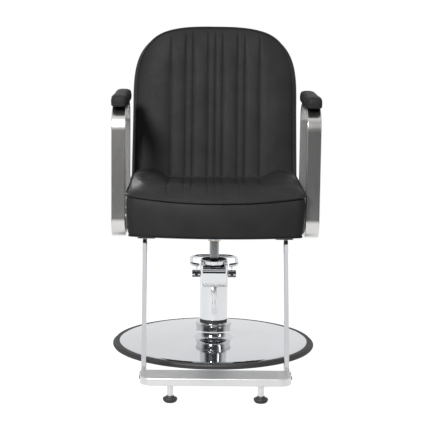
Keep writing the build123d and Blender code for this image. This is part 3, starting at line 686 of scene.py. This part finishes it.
def along_lines(name, lines, group, values, closed=False, slot=LEATHER_SLOT, body="seat"):
    """Runs a node group on edge lines and keeps the result as a plain mesh."""
    points, edges = [], []
    for line in lines:
        start = len(points)
        points.extend(tuple(p) for p in line)
        edges.extend((start + i, start + i + 1) for i in range(len(line) - 1))
        if closed:
            edges.append((start + len(line) - 1, start))
    mesh = bpy.data.meshes.new(name)
    mesh.from_pydata(points, edges, [])
    piece = bpy.data.objects.new(name, mesh)
    bpy.context.scene.collection.objects.link(piece)
    modifier = piece.modifiers.new("nodes", "NODES")
    modifier.node_group = group
    names = {item.name: item.identifier for item in group.interface.items_tree
             if getattr(item, "in_out", "") == "INPUT"}
    for key, value in values.items():
        modifier[names[key]] = value
    settle(piece)
    recalculate(piece)
    return dress(piece, slot, body, values["Material"])


def piping(name, line):
    """Leather piping along a closed line."""
    soft = bpy.context.scene.chair_upholstery
    material = bpy.data.materials.get("piping_leather") or leather_material(
        "piping_leather", scaled(soft.leather_colour, 0.9), soft.leather_roughness - 0.06, 1100.0)
    return along_lines(name, [line], piping_tree(),
                       {"Radius": soft.piping_radius, "Step": 0.0035, "Material": material}, True)


def stitches(name, lines):
    """Stitches along open lines."""
    soft = bpy.context.scene.chair_upholstery
    material = bpy.data.materials.get("thread") or thread_material("thread", (0.02, 0.02, 0.021))
    values = {"Pitch": soft.stitch_length * 1.35, "Length": soft.stitch_length, "Thickness": 0.00035,
              "Seed": 7, "Material": material}
    return along_lines(name, lines, stitch_tree(), values)


def channel_stitches(name, panel, columns, rows, lift):
    """Stitches along every sewn line of a panel of points, between two rows."""
    nearest = [int(np.argmin(np.abs(columns - line))) for line in CHANNEL_LINES]
    return stitches(name, [panel[rows, index, :] + lift for index in nearest])


# ---- seat ---------------------------------------------------------------------------------
def seat_front_edge(x):
    """Y of the seat's bowed front at x, with rounded corners, for the seam line."""
    bow = SEAT_FRONT + SEAT_SETBACK * (np.abs(x) / SEAT_HALF) ** 2
    inside = np.clip((np.abs(x) - (SEAT_HALF - SEAT_CORNER)) / SEAT_CORNER, 0.0, 1.0)
    return bow + SEAT_CORNER * (1.0 - np.sqrt(np.maximum(0.0, 1.0 - inside ** 2)))


def seat_seam_height(x, y):
    """Height of the piping: lowest at the middle of the front, level along the sides."""
    low = bpy.context.scene.chair_upholstery.seat_seam_height
    along = np.maximum(np.abs(x) / SEAT_HALF, smooth_step(y, SEAT_FRONT + 0.04, -0.15))
    return low + SEAM_RISE * np.clip(along, 0, 1) ** 2.2


def quarter_round(gap, reach):
    """Rise of a rolled edge: 0 at the edge, 1 from reach inwards."""
    return np.sqrt(np.clip(1.0 - (1.0 - np.clip(gap / reach, 0, 1)) ** 2, 0, 1))


def seat_top_height(x, y, edge_y, seam):
    """Height of the top panel: rolled front edge, dished middle, higher sides."""
    crest = bpy.context.scene.chair_upholstery.seat_crest
    roll = quarter_round(np.maximum(y - edge_y, 0.0), FRONT_ROLL)
    shoulder = quarter_round(SEAT_HALF - np.abs(x), SIDE_ROLL)
    behind = smooth_step(y, -0.135, 0.060)
    valley = 0.007 * np.exp(-((y + 0.070) / 0.045) ** 2)
    middle = crest - 0.019 * behind - valley * 0.4
    hump = crest + 0.004 * behind - valley
    bolster = smooth_step(np.abs(x), CHANNELS[-1] - 0.004, CHANNELS[-1] + 0.055)
    full = middle + (hump - middle) * bolster
    return seam + (full - seam) * np.minimum(roll, shoulder ** 0.8)


class CHAIR_OT_seat(bpy.types.Operator):
    """Padded seat with a rolled front edge, sewn channels and piping"""

    bl_idname = "chair.seat"
    bl_label = "Seat"

    def execute(self, context):
        soft = context.scene.chair_upholstery
        rear, bottom = SEAT_REAR, SEAT_BOTTOM
        columns = channel_columns(SEAT_HALF)
        grid = panel_grid(columns, seat_front_edge, lambda x: np.full_like(x, rear), SEAT_ROWS)
        x, y = grid[..., 0], grid[..., 1]
        edge_y = seat_front_edge(x)
        seam = seat_seam_height(x, y)
        z = seat_top_height(x, y, edge_y, seam)
        rear_lean = math.tan(BACK_LEAN) * (z - BACK_ORIGIN.z)
        y = np.where(y > 0.08, y + rear_lean * (y - 0.08) / (rear - 0.08), y)
        fade = 0.25 + 0.75 * smooth_step(y - edge_y, 0.02, 0.16)
        z = z - crease_depth(x, soft.channel_depth) * fade
        top = np.stack([x, y, z], axis=-1)
        edge = loop_indices(SEAT_ROWS, len(columns))
        seam_line = top.reshape(-1, 3)[edge]
        outward = np.zeros_like(seam_line)
        run = np.roll(seam_line, -1, 0) - np.roll(seam_line, 1, 0)
        outward[:, 0], outward[:, 1] = run[:, 1], -run[:, 0]
        outward /= np.maximum(np.linalg.norm(outward, axis=1), 1e-9)[:, None]
        at_rear = smooth_step(seam_line[:, 1], rear - 0.03, rear - 0.005)[:, None]
        walls = []
        for share, push in SEAT_WALL:
            ring = seam_line + outward * push * (1.0 - at_rear * 0.6)
            ring[:, 2] = seam_line[:, 2] + (bottom - seam_line[:, 2]) * share
            ring[:, 0] *= 1.0 - SEAT_TAPER * share
            ring[:, 1] -= at_rear[:, 0] * math.tan(BACK_LEAN) * (seam_line[:, 2] - bottom) * share
            walls.append(ring)
        base = np.stack([x * 0.95, (y + 0.05) * 0.95 - 0.05, np.full_like(x, bottom)], axis=-1)
        piece, _, total = closed_cushion("seat_pad", top, walls, base)
        points = coordinates(piece.data)
        pinned = np.zeros(len(points))
        pinned[edge] = 1.0
        pinned[total:] = 1.0
        pinned[total + len(edge):total + len(edge) * 7] = 0.0
        on_line = crease_depth(points[:, 0], 1.0, 0.0016)
        pinned[:total] = np.maximum(pinned[:total], np.where(on_line[:total] > 0.9, 0.97, 0.0))
        swell(piece, pinned, soft.swell_cap * 0.75, 3.0)
        subdivide(piece)
        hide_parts("seat_cushion")
        dress(piece, LEATHER_SLOT)
        lift = np.array([0.0, 0.0, 0.0012])
        piping("seat_piping", seam_line + outward * 0.0012 + lift)
        channel_stitches("seat_channel_stitches", top, columns, slice(6, SEAT_ROWS - 8),
                         (0, 0, 0.0012))
        return {"FINISHED"}


# ---- backrest -----------------------------------------------------------------------------
def back_point(x, v, depth):
    """Points of the backrest from its own width, height up its face and depth behind its front."""
    up = np.array((0.0, math.sin(BACK_LEAN), math.cos(BACK_LEAN)))
    out = np.array((0.0, -math.cos(BACK_LEAN), math.sin(BACK_LEAN)))
    points = np.array(BACK_ORIGIN) + v[..., None] * up - depth[..., None] * out
    points[..., 0] = x
    return points


def back_top_edge(x):
    """Height of the backrest's outline at x: a flat crown that turns down at big corners."""
    t = np.clip(np.abs(x) / BACK_HALF, 0.0, 1.0)
    rise = (1.0 - t ** CROWN_POWER) ** (1.0 / SIDE_POWER)
    return BACK_SHOULDER + (BACK_HIGH - BACK_SHOULDER) * rise


def back_side_edge(v):
    """Half width of the backrest's outline at height v along it."""
    t = np.clip((v - BACK_SHOULDER) / (BACK_HIGH - BACK_SHOULDER), 0.0, 1.0)
    spread_out = BACK_SPREAD * np.clip((BACK_SHOULDER - v) / (BACK_SHOULDER - BACK_LOW), 0.0, 1.0)
    return BACK_HALF * (1.0 - t ** SIDE_POWER) ** (1.0 / CROWN_POWER) + spread_out


class CHAIR_OT_backrest(bpy.types.Operator):
    """Padded backrest with sewn channels, boxing and two rows of piping"""

    bl_idname = "chair.backrest"
    bl_label = "Backrest"

    def execute(self, context):
        soft = context.scene.chair_upholstery
        columns, outer = channel_columns(BACK_CORNER), CHANNEL_OUTER
        share = np.linspace(0.0, 1.0, BACK_ROWS)[:, None]
        top = back_top_edge(columns)
        v = BACK_LOW + (top - BACK_LOW) * share
        q = np.clip((np.abs(columns) - outer) / (BACK_CORNER - outer), 0.0, 1.0)
        corner_v = float(back_top_edge(np.array([BACK_CORNER]))[0])
        reach = back_side_edge(np.minimum(v, corner_v))
        x = np.sign(columns) * np.where(np.abs(columns) > outer, outer + (reach - outer) * q,
                                        np.abs(columns))
        side = np.maximum(back_side_edge(v) - np.abs(x), 0.0)
        above = np.maximum(back_top_edge(x) - v, 0.0)
        roll = (quarter_round(side, 0.080) * quarter_round(above, 0.085)
                * quarter_round(v - BACK_LOW, 0.060))
        lumbar = LUMBAR * np.exp(-((v - 0.12) / 0.13) ** 2)
        depth = SEAM_DEPTH - (soft.back_crown + lumbar) * roll
        depth = depth + crease_depth(x, soft.channel_depth) * smooth_step(above, 0.0, 0.03)

        def placed(flare, at):
            """Panel points drawn in from the full outline; flare 1 is the outline itself."""
            near_side = smooth_step(np.abs(x), outer, BACK_CORNER)
            drawn = 1.0 - INSET_SIDE / BACK_HALF * (1.0 - flare) * near_side
            lowered = INSET_TOP * (1.0 - flare) * smooth_step(v, 0.2, 0.45)
            return back_point(x * drawn, v - lowered, at)

        front = placed(0.0, depth)
        edge = loop_indices(BACK_ROWS, len(columns))
        walls = [placed(flare, depth + (REAR_DEPTH - SEAM_DEPTH) * share_back).reshape(-1, 3)[edge]
                 for share_back, flare in BACK_WALL]
        rear = placed(0.45, REAR_DEPTH + 0.003 * roll)
        piece, _, total = closed_cushion("back_pad", front, walls, rear)
        points = coordinates(piece.data)
        pinned = np.zeros(len(points))
        pinned[edge] = 1.0
        pinned[total + 6 * len(edge):] = 1.0
        on_line = crease_depth(x.reshape(-1), 1.0, 0.0016)
        pinned[:total] = np.maximum(pinned[:total], np.where(on_line > 0.9, 0.97, 0.0))
        swell(piece, pinned, soft.swell_cap * 0.32, 2.0)
        subdivide(piece)
        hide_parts("back_cushion")
        dress(piece, LEATHER_SLOT)
        seam = placed(0.06, depth - 0.0008).reshape(-1, 3)[edge]
        piping("back_piping_front", seam)
        piping("back_piping_rear", walls[-1])
        flat = np.zeros_like(x)
        hem = [placed(flare, flat + at).reshape(-1, 3)[edge] for at, flare in COVER_HEM]
        cover, _, _ = closed_cushion("back_cover", placed(0.10, flat + 0.0862), hem,
                                     placed(0.0, COVER_HEM[-1][0] + 0.0045 * roll))
        held = np.ones(len(cover.data.vertices))
        held[total + len(COVER_HEM) * len(edge):] = 0.0
        swell(cover, held, 0.0020, 1.5)
        subdivide(cover)
        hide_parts("back_panel")
        dress(cover, LEATHER_SLOT)
        channel_stitches("back_channel_stitches", front, columns, slice(10, BACK_ROWS - 2),
                         (0, -0.0012, 0))
        return {"FINISHED"}


# ---- armrests -----------------------------------------------------------------------------
class CHAIR_OT_armrests(bpy.types.Operator):
    """Padded armrests on the steel loops"""

    bl_idname = "chair.armrests"
    bl_label = "Armrests"

    def execute(self, context):
        soft = context.scene.chair_upholstery
        for side in SIDES:
            low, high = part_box("arm_pad_" + side)
            low.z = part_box("arm_frame_" + side)[1].z + 0.0002
            centre, half = (low + high) / 2, (high - low) / 2
            count, rings = PAD_POINTS, []
            for level, wide in PAD_SECTION:
                ring, inset = [], half.x * (1.0 - wide)
                for index in range(count):
                    turn = 2 * math.pi * index / count
                    c, s = math.cos(turn), math.sin(turn)
                    long = math.copysign(abs(s) ** (2 / 9.0), s)
                    across = math.copysign(abs(c) ** (2 / 5.0), c)
                    ring.append((centre.x + across * (half.x - inset),
                                 centre.y + long * (half.y - inset * 0.9), centre.z + half.z * level))
                rings.append(ring)
            points = [p for ring in rings for p in ring]
            faces = []
            for r in range(len(rings) - 1):
                for i in range(count):
                    j = (i + 1) % count
                    low_ring, high_ring = r * count, (r + 1) * count
                    faces.append((low_ring + i, low_ring + j, high_ring + j, high_ring + i))
            faces.append(tuple(range(count))[::-1])
            faces.append(tuple((len(rings) - 1) * count + i for i in range(count)))
            shell = add_object("arm_rest_" + side, points, faces)
            remesh = shell.modifiers.new("even", "REMESH")
            remesh.mode, remesh.voxel_size = "VOXEL", 0.0045
            smooth = shell.modifiers.new("soft", "SMOOTH")
            smooth.factor, smooth.iterations = 0.5, 3
            settle(shell)
            points = coordinates(shell.data)
            pinned = np.where(points[:, 2] < low.z + 0.004, 1.0, 0.0)
            swell(shell, pinned, 0.0018, 2.0)
            subdivide(shell)
            points = coordinates(shell.data)
            seam = low.z + 0.0085
            away = (points - np.array(centre)) * (1, 1, 0)
            away /= np.maximum(np.linalg.norm(away, axis=1), 1e-9)[:, None]
            pull = 0.0012 * np.exp(-((points[:, 2] - seam) / 0.0018) ** 2)
            points -= away * pull[:, None]
            put_coordinates(shell.data, points)
            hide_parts("arm_pad_" + side)
            dress(shell, LEATHER_SLOT)
        return {"FINISHED"}


# ---- plunger spring -----------------------------------------------------------------------
class CHAIR_OT_spring(bpy.types.Operator):
    """Coil spring that lifts the pump plunger, wound as one fixed coil in the plunger spring's place
    """

    bl_idname = "chair.spring"
    bl_label = "Plunger spring"

    def execute(self, context):
        metal = context.scene.chair_metal
        low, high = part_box("plunger_spring")
        wire, centre = metal.spring_wire / 2, (low + high) / 2
        radius, count = (high.x - low.x) / 2 - wire, metal.spring_turns * 24
        line = []
        for index in range(count + 1):
            turn, share = 2 * math.pi * index / 24, index / count
            line.append((centre.x + radius * math.cos(turn), centre.y + radius * math.sin(turn),
                         low.z + wire + (high.z - low.z - 2 * wire) * share))
        values = {"Radius": wire, "Step": 0.0008, "Material": finish_material("ground_steel")}
        coil = along_lines("plunger_coil", [line], piping_tree(), values, slot="ground_steel",
                           body="base")
        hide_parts("plunger_spring")
        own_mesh(coil)
        return {"FINISHED"}


# ---- metal, rubber and hidden parts -------------------------------------------------------
class CHAIR_OT_finishes(bpy.types.Operator):
    """Finishes for the metal, rubber, wood and cloth parts that keep their own shape"""

    bl_idname = "chair.finishes"
    bl_label = "Finishes"

    def execute(self, context):
        for name, node in frame["nodes"].items():
            node.data.materials.clear()
            node.data.materials.append(finish_material(slot_of(name)))
        return {"FINISHED"}


# ---- studio -------------------------------------------------------------------------------
def area_lamp(name, place, size, power):
    """Soft lamp that points at the chair."""
    lamp = bpy.data.lights.new(name, "AREA")
    lamp.shape, lamp.size, lamp.size_y, lamp.energy = "RECTANGLE", size[0], size[1], power
    holder = bpy.data.objects.new(name, lamp)
    holder.location = place
    holder.rotation_euler = (Vector(MIDDLE) - Vector(place)).to_track_quat("-Z", "Y").to_euler()
    bpy.context.scene.collection.objects.link(holder)
    return holder


class CHAIR_OT_studio(bpy.types.Operator):
    """Pale floor, soft lamps and the camera"""

    bl_idname = "chair.studio"
    bl_label = "Studio"

    def execute(self, context):
        scene, studio = context.scene, context.scene.chair_studio
        count, radius = FLOOR_SIDES, studio.floor_radius
        turns = [2 * math.pi * i / count for i in range(count)]
        points = [(0.0, 0.0, FLOOR_DROP)]
        points += [(radius * math.cos(turn), radius * math.sin(turn), FLOOR_DROP) for turn in turns]
        floor = add_object("floor", points, [(0, i + 1, (i + 1) % count + 1) for i in range(count)])
        material, tree, shader = new_material("studio_floor", (0.10, 0.10, 0.10), 0.8)
        patch = noise(tree, object_point(tree), 3.0)
        tree.put(shader.inputs["Base Color"], tint(tree, patch, (0.09,) * 3, (0.10,) * 3))
        shader.inputs["Specular IOR Level"].default_value = 0.1
        shader.inputs["Emission Color"].default_value = (1.0, 1.0, 1.0, 1.0)
        # The floor is bright to look at and in mirrors, but gives other pieces little light.
        paths = tree.add("ShaderNodeLightPath")
        glow = spread(tree, paths.outputs["Is Diffuse Ray"], 0.95, 0.03, 0.0, 1.0)
        tree.put(shader.inputs["Emission Strength"], glow)
        floor.data.materials.append(material)

        world = bpy.data.worlds.new("room")
        world.use_nodes = True
        sky = Tree(world.node_tree)
        background = sky.nodes["Background"]
        direction = sky.add("ShaderNodeTexCoord").outputs["Generated"]
        parts = sky.add("ShaderNodeSeparateXYZ", Vector=direction)
        # In the metal, the room in front of the chair is dark between floor and ceiling.
        front = spread(sky, parts.outputs["Y"], 1.0, 0.0, -0.45, 0.05)
        under_ceiling = spread(sky, parts.outputs["Z"], 1.0, 0.0, 0.62, 0.86)
        dark = sky.add("ShaderNodeMath", {"operation": "MULTIPLY"})
        sky.put(dark.inputs[0], front)
        sky.put(dark.inputs[1], under_ceiling)
        shade = tint(sky, dark.outputs[0], (0.92, 0.92, 0.93), (0.07, 0.07, 0.072))
        seen = sky.add("ShaderNodeMix", {"data_type": "RGBA"})
        rays = sky.add("ShaderNodeLightPath").outputs
        sky.put(seen.inputs["Factor"], rays["Is Camera Ray"])
        sky.put(seen.inputs[6], shade)
        seen.inputs[7].default_value = (1.0, 1.0, 1.0, 1.0)
        sky.put(background.inputs["Color"], seen.outputs[2])
        sky.put(background.inputs["Strength"], spread(
            sky, rays["Is Diffuse Ray"], studio.sky_strength, studio.sky_strength * 0.10, 0.0, 1.0))
        scene.world = world

        area_lamp("key_lamp", *KEY_LAMP, studio.key_power)
        area_lamp("fill_lamp", *FILL_LAMP, studio.fill_power)
        top = area_lamp("top_lamp", *TOP_LAMP, studio.fill_power * 2.0)
        rear = area_lamp("rear_lamp", *REAR_LAMP, studio.key_power)
        top.visible_glossy = rear.visible_glossy = False

        yaw, pitch, roll = CAMERA_YAW, CAMERA_PITCH, CAMERA_ROLL
        ahead = Vector((math.sin(yaw) * math.cos(pitch), math.cos(yaw) * math.cos(pitch),
                        -math.sin(pitch)))
        level = Vector((math.cos(yaw), -math.sin(yaw), 0.0))
        up = level.cross(ahead)
        right = level * math.cos(roll) + up * math.sin(roll)
        up = right.cross(ahead)
        lens = bpy.data.cameras.new("camera")
        lens.lens, lens.sensor_width = studio.focal_length, 36.0
        camera = bpy.data.objects.new("camera", lens)
        turn = Matrix((right, up, -ahead)).transposed().to_4x4()
        camera.matrix_world = Matrix.Translation(CAMERA_PLACE) @ turn
        scene.collection.objects.link(camera)
        scene.camera = camera
        scene.view_settings.view_transform = "Standard"
        return {"FINISHED"}


# ---- panel and registration ---------------------------------------------------------------
OPERATORS = (CHAIR_OT_studio, CHAIR_OT_finishes, CHAIR_OT_seat, CHAIR_OT_backrest, CHAIR_OT_armrests,
             CHAIR_OT_spring)
GROUPS = {"chair_upholstery": ChairUpholstery, "chair_metal": ChairMetal, "chair_studio": ChairStudio}


class CHAIR_PT_sidebar(bpy.types.Panel):
    """Lists the chair's pieces and their settings"""

    bl_idname = "CHAIR_PT_sidebar"
    bl_label = "Salon Chair"
    bl_space_type = "VIEW_3D"
    bl_region_type = "UI"
    bl_category = "Chair"

    def draw(self, context):
        for operator in OPERATORS:
            self.layout.operator(operator.bl_idname)
        for name, group in GROUPS.items():
            box = self.layout.box()
            for key in group.__annotations__:
                box.prop(getattr(context.scene, name), key)


def register():
    for cls in (*GROUPS.values(), *OPERATORS, CHAIR_PT_sidebar):
        bpy.utils.register_class(cls)
    for name, group in GROUPS.items():
        setattr(bpy.types.Scene, name, PointerProperty(type=group))


def unregister():
    for name in GROUPS:
        delattr(bpy.types.Scene, name)
    for cls in reversed((*GROUPS.values(), *OPERATORS, CHAIR_PT_sidebar)):
        bpy.utils.unregister_class(cls)


def main():
    register()
    bpy.ops.chair.studio()
    bpy.ops.chair.finishes()
    bpy.ops.chair.seat()
    bpy.ops.chair.backrest()
    bpy.ops.chair.armrests()
    bpy.ops.chair.spring()


if __name__ == "__main__":
    main()
